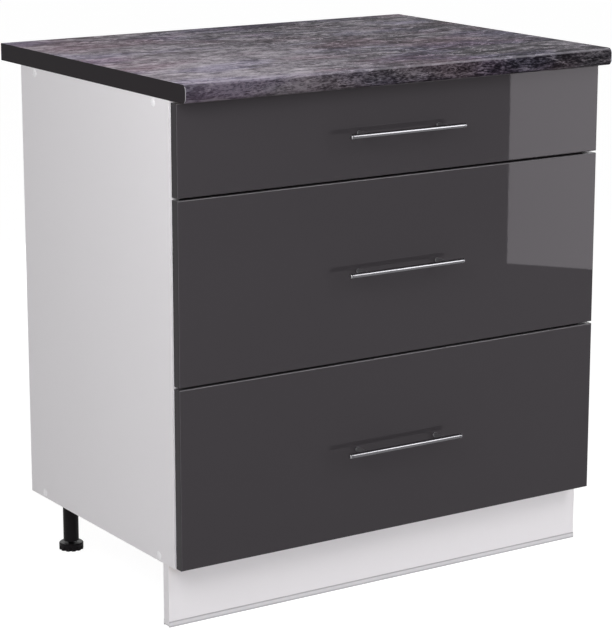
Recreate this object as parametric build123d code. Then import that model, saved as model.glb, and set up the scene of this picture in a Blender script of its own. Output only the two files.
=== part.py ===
from build123d import *
from collections import namedtuple
import os

# Kitchen base cabinet with three drawers, a worktop, a plinth and adjustable legs.
# Millimetres, +Z up. The drawers face -Y and +X is to the right of someone who faces
# them. The origin is on the floor, in the middle of the whole cabinet.

# ---- worktop: chipboard with a plastic laminate wrapped round its front edge ----
CABINET_WIDTH = 800.0
WORKTOP_DEPTH = 600.0
WORKTOP_THICKNESS = 28.0
WORKTOP_EDGE_RADIUS = 9.0
WORKTOP_FRONT_OVERHANG = 30.0    # past the drawer fronts' faces
LAMINATE = 0.8
LAMINATE_RETURN = 25.0           # how far the laminate runs back under the front edge
END_BAND = 1.0

# ---- carcass boards ----
BOARD = 16.0
CARCASS_DEPTH = 480.0            # with its edge bands, without the drawer fronts
EDGE_BAND = 1.0
RAIL_DEPTH = 96.0                # the two flat rails under the worktop
BACK_THICKNESS = 3.0
BACK_FROM_REAR = 13.0            # back panel's rear face to the carcass's rear edge
GROOVE_DEPTH = 8.0
GROOVE_PLAY = 0.1                # each side of the back panel
GROOVE_END_PLAY = 1.0

# ---- drawer fronts, which set the height of the carcass ----
FRONT_THICKNESS = 16.0
FRONT_SIDE_REVEAL = 2.0
FRONT_BOTTOM_REVEAL = 1.0
FRONT_TOP_REVEAL = 3.0
FRONT_GAP = 3.5                  # between one front and the next
FRONT_TO_CARCASS = 2.0
FRONT_EDGE_RADIUS = 1.5
DEEP_FRONT_HEIGHT = 285.0
SHALLOW_FRONT_HEIGHT = 141.0

# ---- bar handles ----
HANDLE_LENGTH = 218.0
HANDLE_BAR_DIAMETER = 8.0
HANDLE_BAR_CHAMFER = 0.5
HANDLE_POST_SPACING = 151.0
HANDLE_POST_DIAMETER = 7.0
HANDLE_STANDOFF = 28.0           # front's face to the bar's axis
HANDLE_SCREW_BITE = 9.0          # how deep the screw goes into the post

# ---- drawer boxes: steel sides with a chipboard bottom and back ----
SIDE_STEEL = 1.0
SIDE_WALL_OFFSET = 12.5          # carcass side to the steel wall's outer face
DEEP_SIDE_HEIGHT = 150.0
SHALLOW_SIDE_HEIGHT = 86.0
SIDE_RAIL_WIDTH = 9.5            # folded rail along the steel wall's top
SIDE_RAIL_HEIGHT = 12.0
SIDE_RAIL_RADIUS = 2.5
BOTTOM_FLANGE = 15.0             # flange that carries the drawer bottom
FRONT_TAB_MARGIN = 14.0          # front tab's ends, from the wall's top and the bottom board
DRAWER_BOARD = 16.0
DRAWER_BOARD_PLAY = 0.5
BACK_BELOW_RAIL = 3.0            # drawer back's top edge, below the steel sides' top

# ---- roller runners ----
RUNNER_STEEL = 1.2
RUNNER_REAR_SPACE = 30.0         # carcass depth that the runners leave free
RUNNER_FROM_FRONT = 2.0
RUNNER_ABOVE_FRONT_EDGE = 22.0   # runner's underside, above its drawer front's lower edge
RUNNER_FLANGE = 9.8              # upper flange, from the carcass side
RUNNER_TRACK = 11.0              # lower flange, from the carcass side
RUNNER_LIP = 2.0                 # upturned edge of the lower flange, above the track
ROLLER_WIDTH = 6.0
CABINET_ROLLER_RADIUS = 9.0
DRAWER_ROLLER_RADIUS = 10.5
ROLLER_CHAMFER = 0.6
ROLLER_PLAY = 0.3                # between a roller and what it rolls on
RUNNING_FLANGE_START = 3.0       # drawer's running flange, from the carcass side
CABINET_ROLLER_FROM_FRONT = 14.0
DRAWER_ROLLER_FROM_REAR = 14.0
DRAWER_TRAVEL = 350.0
STOP_DROP = 1.5                  # runner's end stop, below its upper flange
STOP_LENGTH = 8.0
PIN_RADIUS = 2.5
PIN_FIT = 0.05                   # radial, pin in roller
PIN_HEAD_RADIUS = 3.4
PIN_HEAD_HEIGHT = 0.8
PIN_SIDE_PLAY = 0.3              # roller's end faces to what holds it
LIP_SIDE_PLAY = 0.6              # drawer roller's end face to the runner's lip

# ---- legs ----
LEG_HEIGHT = 100.0               # floor to the underside of the carcass
LEG_FROM_SIDE = 50.0
REAR_LEG_FROM_BACK = 42.0
FRONT_LEG_BEHIND_PLINTH = 46.0
LEG_PLATE_SIZE = 64.0
LEG_PLATE_THICKNESS = 4.0
LEG_PLATE_CORNER = 8.0
LEG_SCREW_SPACING = 44.0
LEG_COLLAR_RADIUS = 17.0
LEG_COLLAR_HEIGHT = 14.0
LEG_TUBE_RADIUS = 13.0
FOOT_RADIUS = 20.5
FOOT_HEIGHT = 12.0
FOOT_CHAMFER = 1.5
FOOT_NOTCHES = 12
FOOT_NOTCH_RADIUS = 2.5
FOOT_NOTCH_HEIGHT = 7.0
FOOT_TO_TUBE = 3.0               # bare thread between the foot and the tube
FOOT_STEM_RADIUS = 5.0
FOOT_STEM_LENGTH = 50.0
FOOT_UP_TRAVEL = 2.0
STEM_FIT = 0.05                  # radial, stem in tube

# ---- plinth ----
PLINTH_THICKNESS = 16.0
PLINTH_SETBACK = 37.0            # behind the drawer fronts' faces
PLINTH_TOP_PLAY = 0.5
SEAL_WALL = 1.0
SEAL_HEIGHT = 9.0
SEAL_FLOOR = 3.0                 # plinth board's lower edge, above the floor
SEAL_LIP = 1.5
CLIP_THICKNESS = 3.0
CLIP_WIDTH = 38.0
CLIP_HEIGHT = 26.0
CLIP_BELOW_CARCASS = 32.0        # clip's top edge
CLIP_WEB = 8.0
CLIP_MOUTH = 18.0
CLIP_SCREW_SPACING = 26.0

# ---- fasteners ----
HOLE_PLAY = 0.05                 # radial, round each screw, dowel and plug
DOWEL_RADIUS = 4.0
DOWEL_LENGTH = 30.0
DOWEL_IN_SIDE = 12.0
DOWEL_END_PLAY = 1.0
DOWEL_CHAMFER = 0.8
JOINT_SCREW_FROM_EDGE = 48.0     # from the carcass's front and rear edges
RAIL_DOWEL_OFFSET = 32.0         # from the joint screw, towards the rail's inner edge
BOTTOM_DOWEL_OFFSET = 64.0
CAP_RADIUS = 7.0
CAP_HEIGHT = 1.2
CAP_CROWN_RADIUS = 5.0
CAP_SHOULDER = 1.0               # where the cap's crown meets its rim, above the panel
CAP_PLUG_DEPTH = 3.0
CAP_PLUG_PLAY = 0.1
HEX_SOCKET = 4.0                 # across flats
HEX_SOCKET_DEPTH = 4.0
WORKTOP_SCREW_FROM_SIDE = 120.0
RUNNER_SCREW_RISE = 18.6         # above the runner's underside
RUNNER_SCREW_PITCH = 160.0
FIRST_RUNNER_SCREW = 37.0        # from the runner's front end

SCREW_TIP = 1.5                  # point's length, in shank radii
PAN_CROWN = 0.6                  # pan head's flat top, in head radii
PAN_RIM = 0.4                    # pan head's widest place, in head heights
DRAWER_SCREW_INSET = 56.0        # end screws, from the drawer bottom's front and rear edges
TAB_SCREW_INSET = 8.0            # from the front tab's ends

Screw = namedtuple("Screw", "length radius head_radius head_height countersunk")
JOINT_SCREW = Screw(length=50.0, radius=3.5, head_radius=5.0, head_height=5.0, countersunk=True)
WORKTOP_SCREW = Screw(length=30.0, radius=2.0, head_radius=4.0, head_height=2.4, countersunk=True)
LEG_SCREW = Screw(length=14.0, radius=1.75, head_radius=3.5, head_height=1.8, countersunk=False)
RUNNER_SCREW = Screw(length=13.0, radius=1.75, head_radius=2.9, head_height=1.3, countersunk=False)
DRAWER_SCREW = Screw(length=13.0, radius=1.75, head_radius=3.3, head_height=1.4, countersunk=False)
HANDLE_SCREW = Screw(length=FRONT_THICKNESS + HANDLE_SCREW_BITE, radius=2.0, head_radius=4.0,
                     head_height=2.2, countersunk=False)

# ---- places along Y, from the front of the worktop back ----
handle_reach = HANDLE_STANDOFF + HANDLE_BAR_DIAMETER / 2
handle_proud = max(0.0, handle_reach - WORKTOP_FRONT_OVERHANG)
worktop_front_y = handle_proud - (WORKTOP_DEPTH + handle_proud) / 2
worktop_rear_y = worktop_front_y + WORKTOP_DEPTH
front_face_y = worktop_front_y + WORKTOP_FRONT_OVERHANG
front_rear_y = front_face_y + FRONT_THICKNESS
band_face_y = front_rear_y + FRONT_TO_CARCASS
board_front_y = band_face_y + EDGE_BAND
carcass_rear_y = band_face_y + CARCASS_DEPTH
back_rear_y = carcass_rear_y - BACK_FROM_REAR
back_front_y = back_rear_y - BACK_THICKNESS
front_joint_y = band_face_y + JOINT_SCREW_FROM_EDGE
rear_joint_y = carcass_rear_y - JOINT_SCREW_FROM_EDGE
runner_length = CARCASS_DEPTH - RUNNER_REAR_SPACE
runner_front_y = band_face_y + RUNNER_FROM_FRONT
runner_rear_y = runner_front_y + runner_length
drawer_rear_y = front_rear_y + runner_length
plinth_face_y = front_face_y + PLINTH_SETBACK
plinth_rear_y = plinth_face_y + PLINTH_THICKNESS
front_leg_y = plinth_rear_y + FRONT_LEG_BEHIND_PLINTH
rear_leg_y = carcass_rear_y - REAR_LEG_FROM_BACK

# ---- places along X ----
half_width = CABINET_WIDTH / 2
inner_half = half_width - BOARD
front_half = half_width - FRONT_SIDE_REVEAL
leg_x = half_width - LEG_FROM_SIDE

# ---- places along Z, and one record for each drawer ----
Level = namedtuple("Level", "name front_z front_height side_height")
bottom_front_z = LEG_HEIGHT + FRONT_BOTTOM_REVEAL
middle_front_z = bottom_front_z + DEEP_FRONT_HEIGHT + FRONT_GAP
top_front_z = middle_front_z + DEEP_FRONT_HEIGHT + FRONT_GAP
carcass_top_z = top_front_z + SHALLOW_FRONT_HEIGHT + FRONT_TOP_REVEAL
worktop_top_z = carcass_top_z + WORKTOP_THICKNESS
rail_z = carcass_top_z - BOARD
floor_panel_z = LEG_HEIGHT + BOARD
clip_top_z = LEG_HEIGHT - CLIP_BELOW_CARCASS
clip_bottom_z = clip_top_z - CLIP_HEIGHT
LEVELS = [
    Level("bottom", bottom_front_z, DEEP_FRONT_HEIGHT, DEEP_SIDE_HEIGHT),
    Level("middle", middle_front_z, DEEP_FRONT_HEIGHT, DEEP_SIDE_HEIGHT),
    Level("top", top_front_z, SHALLOW_FRONT_HEIGHT, SHALLOW_SIDE_HEIGHT),
]

# ---- heights within a runner, above its underside ----
cabinet_roller_rise = RUNNER_STEEL + ROLLER_PLAY + CABINET_ROLLER_RADIUS
drawer_roller_rise = RUNNER_STEEL + ROLLER_PLAY + DRAWER_ROLLER_RADIUS
running_flange_rise = cabinet_roller_rise + CABINET_ROLLER_RADIUS + ROLLER_PLAY
upper_flange_rise = drawer_roller_rise + DRAWER_ROLLER_RADIUS + ROLLER_PLAY
runner_height = upper_flange_rise + RUNNER_STEEL
side_rise = RUNNER_STEEL + RUNNER_LIP - SIDE_STEEL
drawer_floor_rise = side_rise + SIDE_STEEL + DRAWER_BOARD

cabinet_roller_y = runner_front_y + CABINET_ROLLER_FROM_FRONT
drawer_roller_y = drawer_rear_y - DRAWER_ROLLER_FROM_REAR
side_inner_s = SIDE_WALL_OFFSET + SIDE_STEEL
side_flange_s = side_inner_s + BOTTOM_FLANGE
drawer_board_half = inner_half - side_inner_s - DRAWER_BOARD_PLAY

nodes = {}


# ---- small builders ----
def block(x_span, y_span, z_span):
    """A box between two values on each axis."""
    spans = (x_span, y_span, z_span)
    size = [high - low for low, high in spans]
    corner = [low for low, high in spans]
    return Pos(*corner) * Box(*size, align=(Align.MIN, Align.MIN, Align.MIN))


def aimed(point, direction):
    """The place at a point whose own +Z looks along a direction."""
    return Plane(origin=point, z_dir=direction).location


def rod(point, direction, radius, length):
    """A round bar that starts at a point."""
    bar = Cylinder(radius, length, align=(Align.CENTER, Align.CENTER, Align.MIN))
    return aimed(point, direction) * bar


def turned(outline):
    """A solid of revolution about Z from (radius, height) points."""
    face = make_face(Plane.XZ * Polyline(*outline, close=True))
    return revolve(face, axis=Axis.Z)


def screw_shape(kind, play=0.0):
    """A screw along +Z, or with play the hole for it. Its head seats at z = 0."""
    radius = kind.radius + play
    head = kind.head_radius + play
    tip = kind.length + play
    shoulder = tip - kind.radius * SCREW_TIP
    if kind.countersunk:
        outline = [(0, -play), (head, -play), (radius, kind.head_height)]
    else:
        crown = kind.head_radius * PAN_CROWN
        outline = [(0, -kind.head_height), (crown, -kind.head_height)]
        outline += [(head, -kind.head_height * PAN_RIM), (head, 0), (radius, 0)]
    outline += [(radius, shoulder), (0, tip)]
    return turned(outline)


def drill(board, places, cutter):
    """Take the same hole out of a board at each place."""
    for place in places:
        board -= place * cutter
    return board


def both_sides(left_shape):
    """A left-hand piece and its mirror image."""
    return [left_shape, mirror(left_shape, about=Plane.YZ)]


def left_x(offset):
    """X of a point that far inwards from the left side panel's inner face."""
    return offset - inner_half


# ---- fastener places ----
def joint_places(side):
    """Joint screws through one side panel, from outside: side is -1 left, 1 right."""
    bottom_z = LEG_HEIGHT + BOARD / 2
    top_z = carcass_top_z - BOARD / 2
    spots = [(y, z) for y in (front_joint_y, rear_joint_y) for z in (bottom_z, top_z)]
    return [aimed((side * half_width, y, z), (-side, 0, 0)) for y, z in spots]


def dowel_places(side):
    """Dowels from one side panel into the bottom panel and the two rails."""
    start_x = side * (inner_half + DOWEL_IN_SIDE)
    bottom_z = LEG_HEIGHT + BOARD / 2
    top_z = carcass_top_z - BOARD / 2
    spots = [
        (front_joint_y + BOTTOM_DOWEL_OFFSET, bottom_z),
        (rear_joint_y - BOTTOM_DOWEL_OFFSET, bottom_z),
        (front_joint_y + RAIL_DOWEL_OFFSET, top_z),
        (rear_joint_y - RAIL_DOWEL_OFFSET, top_z),
    ]
    return [aimed((start_x, y, z), (-side, 0, 0)) for y, z in spots]


def worktop_screw_places():
    """Screws up through the rails into the worktop."""
    xs = (WORKTOP_SCREW_FROM_SIDE - half_width, half_width - WORKTOP_SCREW_FROM_SIDE)
    return [aimed((x, y, rail_z), (0, 0, 1)) for x in xs for y in (front_joint_y, rear_joint_y)]


def leg_spots():
    return [(x, y) for y in (front_leg_y, rear_leg_y) for x in (-leg_x, leg_x)]


def leg_plate_holes(x, y):
    """Screws up through the plate of a leg that stands at a point."""
    reach = LEG_SCREW_SPACING / 2
    seat_z = LEG_HEIGHT - LEG_PLATE_THICKNESS
    corners = [(dx, dy) for dx in (-reach, reach) for dy in (-reach, reach)]
    return [aimed((x + dx, y + dy, seat_z), (0, 0, 1)) for dx, dy in corners]


def leg_screw_places():
    return [place for x, y in leg_spots() for place in leg_plate_holes(x, y)]


def clip_screw_places():
    reach = CLIP_SCREW_SPACING / 2
    seat_y = plinth_rear_y + CLIP_THICKNESS
    z = (clip_bottom_z + clip_top_z) / 2
    xs = [side * leg_x + dx for side in (-1, 1) for dx in (-reach, reach)]
    return [aimed((x, seat_y, z), (0, -1, 0)) for x in xs]


def runner_z(level):
    return level.front_z + RUNNER_ABOVE_FRONT_EDGE


def runner_screw_places(level, side):
    """Screws through one runner into its side panel."""
    seat_x = side * (inner_half - RUNNER_STEEL)
    z = runner_z(level) + RUNNER_SCREW_RISE
    first = runner_front_y + FIRST_RUNNER_SCREW
    count = int((runner_length - FIRST_RUNNER_SCREW) // RUNNER_SCREW_PITCH) + 1
    ys = [first + index * RUNNER_SCREW_PITCH for index in range(count)]
    return [aimed((seat_x, y, z), (side, 0, 0)) for y in ys]


# ---- carcass ----
def groove():
    """The room that the back panel takes in the boards round it."""
    reach = inner_half + GROOVE_DEPTH
    y_span = (back_front_y - GROOVE_PLAY, back_rear_y + GROOVE_PLAY)
    z_span = (floor_panel_z - GROOVE_DEPTH, rail_z + GROOVE_DEPTH)
    return block((-reach, reach), y_span, z_span)


def make_carcass():
    panel_y = (board_front_y, carcass_rear_y)
    joint_hole = screw_shape(JOINT_SCREW, HOLE_PLAY)
    dowel_room = DOWEL_LENGTH + 2 * DOWEL_END_PLAY
    dowel_hole = rod((0, 0, -DOWEL_END_PLAY), (0, 0, 1), DOWEL_RADIUS + HOLE_PLAY, dowel_room)
    runner_hole = screw_shape(RUNNER_SCREW, HOLE_PLAY)
    joints = joint_places(-1) + joint_places(1)
    dowels = dowel_places(-1) + dowel_places(1)

    for name, side in (("left", -1), ("right", 1)):
        x_span = sorted((side * inner_half, side * half_width))
        panel = block(x_span, panel_y, (LEG_HEIGHT, carcass_top_z)) - groove()
        panel = drill(panel, joint_places(side), joint_hole)
        panel = drill(panel, dowel_places(side), dowel_hole)
        for level in LEVELS:
            panel = drill(panel, runner_screw_places(level, side), runner_hole)
        nodes["side_panel_" + name] = panel

    floor_panel = block((-inner_half, inner_half), panel_y, (LEG_HEIGHT, floor_panel_z)) - groove()
    floor_panel = drill(floor_panel, joints, joint_hole)
    floor_panel = drill(floor_panel, dowels, dowel_hole)
    nodes["bottom_panel"] = drill(floor_panel, leg_screw_places(), screw_shape(LEG_SCREW, HOLE_PLAY))

    rail_spans = {
        "front_rail": (board_front_y, board_front_y + RAIL_DEPTH),
        "rear_rail": (carcass_rear_y - RAIL_DEPTH, carcass_rear_y),
    }
    for name, y_span in rail_spans.items():
        rail = block((-inner_half, inner_half), y_span, (rail_z, carcass_top_z)) - groove()
        rail = drill(rail, joints, joint_hole)
        rail = drill(rail, dowels, dowel_hole)
        nodes[name] = drill(rail, worktop_screw_places(), screw_shape(WORKTOP_SCREW, HOLE_PLAY))

    depth = GROOVE_DEPTH - GROOVE_END_PLAY
    reach = inner_half + depth
    back_z = (floor_panel_z - depth, rail_z + depth)
    nodes["back_panel"] = block((-reach, reach), (back_front_y, back_rear_y), back_z)

    band_y = (band_face_y, board_front_y)
    nodes["panel_edge_bands"] = [
        block((-half_width, -inner_half), band_y, (LEG_HEIGHT, carcass_top_z)),
        block((inner_half, half_width), band_y, (LEG_HEIGHT, carcass_top_z)),
        block((-inner_half, inner_half), band_y, (LEG_HEIGHT, floor_panel_z)),
        block((-inner_half, inner_half), band_y, (rail_z, carcass_top_z)),
    ]

    dowel = chamfer(Cylinder(DOWEL_RADIUS, DOWEL_LENGTH).edges(), DOWEL_CHAMFER)
    dowel = Pos(0, 0, DOWEL_LENGTH / 2) * dowel
    nodes["dowels"] = [place * dowel for place in dowels]

    hexagon = RegularPolygon(HEX_SOCKET / 2, 6, major_radius=False)
    joint_screw = screw_shape(JOINT_SCREW) - extrude(hexagon, HEX_SOCKET_DEPTH)
    nodes["carcass_screws"] = [place * joint_screw for place in joints]

    dome = turned([(0, -CAP_HEIGHT), (CAP_CROWN_RADIUS, -CAP_SHOULDER), (CAP_RADIUS, 0), (0, 0)])
    plug_hexagon = RegularPolygon(HEX_SOCKET / 2 - CAP_PLUG_PLAY, 6, major_radius=False)
    cap = dome + extrude(plug_hexagon, CAP_PLUG_DEPTH)
    nodes["cover_caps"] = [place * cap for place in joints]


# ---- worktop ----
def worktop_bar(inset, x_span, radius):
    """The worktop's section, smaller all round by an inset, with its front edge rounded."""
    y_span = (worktop_front_y + inset, worktop_rear_y)
    bar = block(x_span, y_span, (carcass_top_z + inset, worktop_top_z - inset))
    front_edges = bar.edges().filter_by(Axis.X).group_by(Axis.Y)[0]
    return fillet(front_edges, radius)


def make_worktop():
    length = (END_BAND - half_width, half_width - END_BAND)
    whole = worktop_bar(0.0, length, WORKTOP_EDGE_RADIUS)
    inside = worktop_bar(LAMINATE, length, WORKTOP_EDGE_RADIUS - LAMINATE)
    bare_underside = block(
        length,
        (worktop_front_y + LAMINATE_RETURN, worktop_rear_y),
        (carcass_top_z, carcass_top_z + LAMINATE),
    )
    laminate = whole - inside - bare_underside
    core = whole - laminate
    nodes["worktop_laminate"] = laminate
    nodes["worktop_core"] = drill(core, worktop_screw_places(), screw_shape(WORKTOP_SCREW, HOLE_PLAY))
    nodes["worktop_end_bands"] = [
        worktop_bar(0.0, (-half_width, END_BAND - half_width), WORKTOP_EDGE_RADIUS),
        worktop_bar(0.0, (half_width - END_BAND, half_width), WORKTOP_EDGE_RADIUS),
    ]
    nodes["worktop_screws"] = [place * screw_shape(WORKTOP_SCREW) for place in worktop_screw_places()]


# ---- legs and plinth ----
def make_legs():
    plate_z = (LEG_HEIGHT - LEG_PLATE_THICKNESS, LEG_HEIGHT)
    reach = LEG_PLATE_SIZE / 2
    plate = block((-reach, reach), (-reach, reach), plate_z)
    plate = fillet(plate.edges().filter_by(Axis.Z), LEG_PLATE_CORNER)
    collar_z = plate_z[0] - LEG_COLLAR_HEIGHT
    tube_z = FOOT_HEIGHT + FOOT_TO_TUBE
    stem_top_z = FOOT_HEIGHT + FOOT_STEM_LENGTH
    body = plate + rod((0, 0, collar_z), (0, 0, 1), LEG_COLLAR_RADIUS, LEG_COLLAR_HEIGHT)
    body += rod((0, 0, tube_z), (0, 0, 1), LEG_TUBE_RADIUS, collar_z - tube_z)
    bore_length = stem_top_z - tube_z + 2 * FOOT_UP_TRAVEL
    body -= rod((0, 0, tube_z), (0, 0, 1), FOOT_STEM_RADIUS + STEM_FIT, bore_length)
    body = drill(body, leg_plate_holes(0, 0), screw_shape(LEG_SCREW, HOLE_PLAY))
    nodes["leg_bodies"] = [Pos(x, y, 0) * body for x, y in leg_spots()]

    disc = rod((0, 0, 0), (0, 0, 1), FOOT_RADIUS, FOOT_HEIGHT)
    disc = chamfer(disc.edges().group_by(Axis.Z)[-1], FOOT_CHAMFER)
    notch = rod((FOOT_RADIUS, 0, 0), (0, 0, 1), FOOT_NOTCH_RADIUS, FOOT_NOTCH_HEIGHT)
    for index in range(FOOT_NOTCHES):
        disc -= Rot(0, 0, index * 360 / FOOT_NOTCHES) * notch
    foot = disc + rod((0, 0, FOOT_HEIGHT), (0, 0, 1), FOOT_STEM_RADIUS, FOOT_STEM_LENGTH)
    names = ("foot_front_left", "foot_front_right", "foot_rear_left", "foot_rear_right")
    for name, (x, y) in zip(names, leg_spots()):
        nodes[name] = Pos(x, y, 0) * foot

    screws = leg_screw_places() + clip_screw_places()
    nodes["leg_screws"] = [place * screw_shape(LEG_SCREW) for place in screws]


def make_plinth():
    board_z = (SEAL_FLOOR, LEG_HEIGHT - PLINTH_TOP_PLAY)
    board = block((-half_width, half_width), (plinth_face_y, plinth_rear_y), board_z)
    seal_y = (plinth_face_y - SEAL_WALL, plinth_rear_y + SEAL_WALL)
    seal = block((-half_width, half_width), seal_y, (SEAL_FLOOR - SEAL_LIP, SEAL_HEIGHT)) - board
    lips = [(seal_y[0], seal_y[0] + SEAL_LIP), (seal_y[1] - SEAL_LIP, seal_y[1])]
    for lip_y in lips:
        seal += block((-half_width, half_width), lip_y, (0, SEAL_FLOOR - SEAL_LIP))
    nodes["plinth_seal"] = seal
    nodes["plinth_board"] = drill(board, clip_screw_places(), screw_shape(LEG_SCREW, HOLE_PLAY))

    clip_z = (clip_bottom_z, clip_top_z)
    tube_radius = LEG_TUBE_RADIUS + HOLE_PLAY
    ring_radius = tube_radius + CLIP_THICKNESS
    ring_y = front_leg_y - ring_radius
    clips = []
    for x in (-leg_x, leg_x):
        clip = rod((x, front_leg_y, clip_bottom_z), (0, 0, 1), ring_radius, CLIP_HEIGHT)
        web = block((x - CLIP_WEB / 2, x + CLIP_WEB / 2), (plinth_rear_y, front_leg_y), clip_z)
        plate_y = (plinth_rear_y, plinth_rear_y + CLIP_THICKNESS)
        clip += web + block((x - CLIP_WIDTH / 2, x + CLIP_WIDTH / 2), plate_y, clip_z)
        clip -= rod((x, front_leg_y, clip_bottom_z), (0, 0, 1), tube_radius, CLIP_HEIGHT)
        mouth_y = (front_leg_y, front_leg_y + ring_radius)
        clip -= block((x - CLIP_MOUTH / 2, x + CLIP_MOUTH / 2), mouth_y, clip_z)
        clips.append(clip)
    clip_hole = screw_shape(LEG_SCREW, HOLE_PLAY)
    nodes["plinth_clips"] = [drill(clip, clip_screw_places(), clip_hole) for clip in clips]


# ---- runners and rollers ----
def roller(radius, x_start):
    """A roller on an axis along X, bored for its pin."""
    wheel = Cylinder(radius, ROLLER_WIDTH) - Cylinder(PIN_RADIUS + PIN_FIT, ROLLER_WIDTH)
    rims = wheel.edges().filter_by(GeomType.CIRCLE).group_by(SortBy.RADIUS)[-1]
    wheel = chamfer(rims, ROLLER_CHAMFER)
    return aimed((x_start + ROLLER_WIDTH / 2, 0, 0), (1, 0, 0)) * wheel


def make_runner(level):
    low = runner_z(level)
    y_span = (runner_front_y, runner_rear_y)
    web_s = RUNNER_STEEL
    top_z = low + runner_height
    runner = block((left_x(0), left_x(web_s)), y_span, (low, top_z))
    runner += block((left_x(web_s), left_x(RUNNER_TRACK)), y_span, (low, low + RUNNER_STEEL))
    lip_s = (left_x(RUNNER_TRACK - RUNNER_STEEL), left_x(RUNNER_TRACK))
    runner += block(lip_s, y_span, (low, low + RUNNER_STEEL + RUNNER_LIP))
    runner += block((left_x(web_s), left_x(RUNNER_FLANGE)), y_span, (top_z - RUNNER_STEEL, top_z))

    stop_reach = (DRAWER_ROLLER_RADIUS**2 - (DRAWER_ROLLER_RADIUS + ROLLER_PLAY - STOP_DROP)**2)**0.5
    stop_y = drawer_roller_y - DRAWER_TRAVEL - stop_reach - ROLLER_PLAY
    stop_x = (left_x(RUNNING_FLANGE_START), left_x(RUNNER_FLANGE))
    stop_z = (top_z - RUNNER_STEEL - STOP_DROP, top_z - RUNNER_STEEL)
    runner += block(stop_x, (stop_y - STOP_LENGTH, stop_y), stop_z)

    wheel_s = web_s + PIN_SIDE_PLAY
    head_s = wheel_s + ROLLER_WIDTH + PIN_SIDE_PLAY
    axle_z = low + cabinet_roller_rise
    pin_start = (left_x(web_s), cabinet_roller_y, axle_z)
    pin_end = (left_x(head_s), cabinet_roller_y, axle_z)
    runner += rod(pin_start, (1, 0, 0), PIN_RADIUS, head_s - web_s)
    runner += rod(pin_end, (1, 0, 0), PIN_HEAD_RADIUS, PIN_HEAD_HEIGHT)
    left_places = runner_screw_places(level, -1)
    runner = drill(runner, left_places, screw_shape(RUNNER_SCREW, HOLE_PLAY))
    nodes["runners_" + level.name] = both_sides(runner)

    wheel = Pos(0, cabinet_roller_y, axle_z) * roller(CABINET_ROLLER_RADIUS, left_x(wheel_s))
    nodes["runner_rollers_" + level.name] = both_sides(wheel)


def make_runner_screws():
    places = []
    for level in LEVELS:
        places += runner_screw_places(level, -1) + runner_screw_places(level, 1)
    nodes["runner_screws"] = [place * screw_shape(RUNNER_SCREW) for place in places]


# ---- drawers ----
def tab_span(level):
    """Lower and upper end of the tabs that hold a drawer's front."""
    low = runner_z(level) + drawer_floor_rise + FRONT_TAB_MARGIN
    high = runner_z(level) + side_rise + level.side_height - FRONT_TAB_MARGIN
    return (low, high)


def back_span(level):
    """Lower and upper edge of a drawer's back."""
    low = runner_z(level) + drawer_floor_rise
    high = runner_z(level) + side_rise + level.side_height - BACK_BELOW_RAIL
    return (low, high)


def drawer_screw_places(level, side):
    """Screws on one side of a drawer: into the front, up into the bottom, into the back."""
    tab_x = side * (inner_half - (side_inner_s + side_flange_s) / 2)
    tab_low, tab_high = tab_span(level)
    tab_zs = (tab_low + TAB_SCREW_INSET, tab_high - TAB_SCREW_INSET)
    places = [aimed((tab_x, front_rear_y + SIDE_STEEL, z), (0, -1, 0)) for z in tab_zs]
    flange_z = runner_z(level) + side_rise
    middle_y = (front_rear_y + drawer_rear_y) / 2
    ys = (front_rear_y + DRAWER_SCREW_INSET, middle_y, drawer_rear_y - DRAWER_SCREW_INSET)
    places += [aimed((tab_x, y, flange_z), (0, 0, 1)) for y in ys]
    wall_x = side * (inner_half - SIDE_WALL_OFFSET)
    back_y = drawer_rear_y - DRAWER_BOARD / 2
    back_low, back_high = back_span(level)
    quarter = (back_high - back_low) / 4
    back_zs = (back_low + quarter, back_high - quarter)
    places += [aimed((wall_x, back_y, z), (-side, 0, 0)) for z in back_zs]
    return places


def handle_screw_places(level):
    z = level.front_z + level.front_height / 2
    return [aimed((side * HANDLE_POST_SPACING / 2, front_rear_y, z), (0, -1, 0)) for side in (-1, 1)]


def make_front(level):
    z_span = (level.front_z, level.front_z + level.front_height)
    front = block((-front_half, front_half), (front_face_y, front_rear_y), z_span)
    front = fillet(front.faces().sort_by(Axis.Y)[0].edges(), FRONT_EDGE_RADIUS)
    front = drill(front, handle_screw_places(level), screw_shape(HANDLE_SCREW, HOLE_PLAY))
    screws = drawer_screw_places(level, -1) + drawer_screw_places(level, 1)
    nodes["front_" + level.name] = drill(front, screws, screw_shape(DRAWER_SCREW, HOLE_PLAY))


def make_handle(level):
    z = level.front_z + level.front_height / 2
    bar_y = front_face_y - HANDLE_STANDOFF
    bar = rod((-HANDLE_LENGTH / 2, bar_y, z), (1, 0, 0), HANDLE_BAR_DIAMETER / 2, HANDLE_LENGTH)
    bar_ends = bar.edges().filter_by(GeomType.CIRCLE)
    nodes["handle_bar_" + level.name] = chamfer(bar_ends, HANDLE_BAR_CHAMFER)
    screw_hole = screw_shape(HANDLE_SCREW, HOLE_PLAY)
    posts = []
    for side, place in zip((-1, 1), handle_screw_places(level)):
        start = (side * HANDLE_POST_SPACING / 2, front_face_y, z)
        post = rod(start, (0, -1, 0), HANDLE_POST_DIAMETER / 2, HANDLE_STANDOFF) - bar
        posts.append(post - place * screw_hole)
    nodes["handle_posts_" + level.name] = posts
    screw = screw_shape(HANDLE_SCREW)
    nodes["handle_screws_" + level.name] = [place * screw for place in handle_screw_places(level)]


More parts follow.
